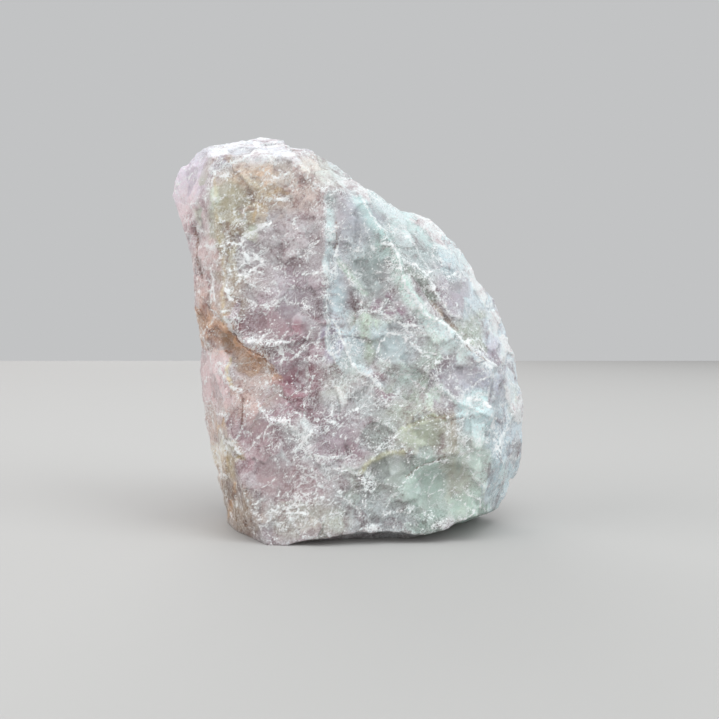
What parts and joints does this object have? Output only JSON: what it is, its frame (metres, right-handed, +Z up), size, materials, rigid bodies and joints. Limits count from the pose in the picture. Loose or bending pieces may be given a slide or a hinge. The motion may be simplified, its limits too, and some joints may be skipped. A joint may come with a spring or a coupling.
{
  "type": "rose quartz chunk",
  "caption": "Rough broken chunk of rose quartz with a broad craggy front, a curved right shoulder and a flat broken base that it stands on.",
  "frame": {"origin": "on the surface the stone rests on, under the centre of its bounding box", "axes": "+Z up, the stone's tallest way; the broad craggy face looks along -Y and +X is its right, so Y is through its thickness"},
  "size_m": [0.1362, 0.07, 0.1488],
  "materials": {
    "rose_quartz": "rough glassy fracture, pale pink with white veins"
  },
  "bodies": {
    "root": {"rose_quartz_chunk": "rose_quartz"}
  },
  "joints": []
}
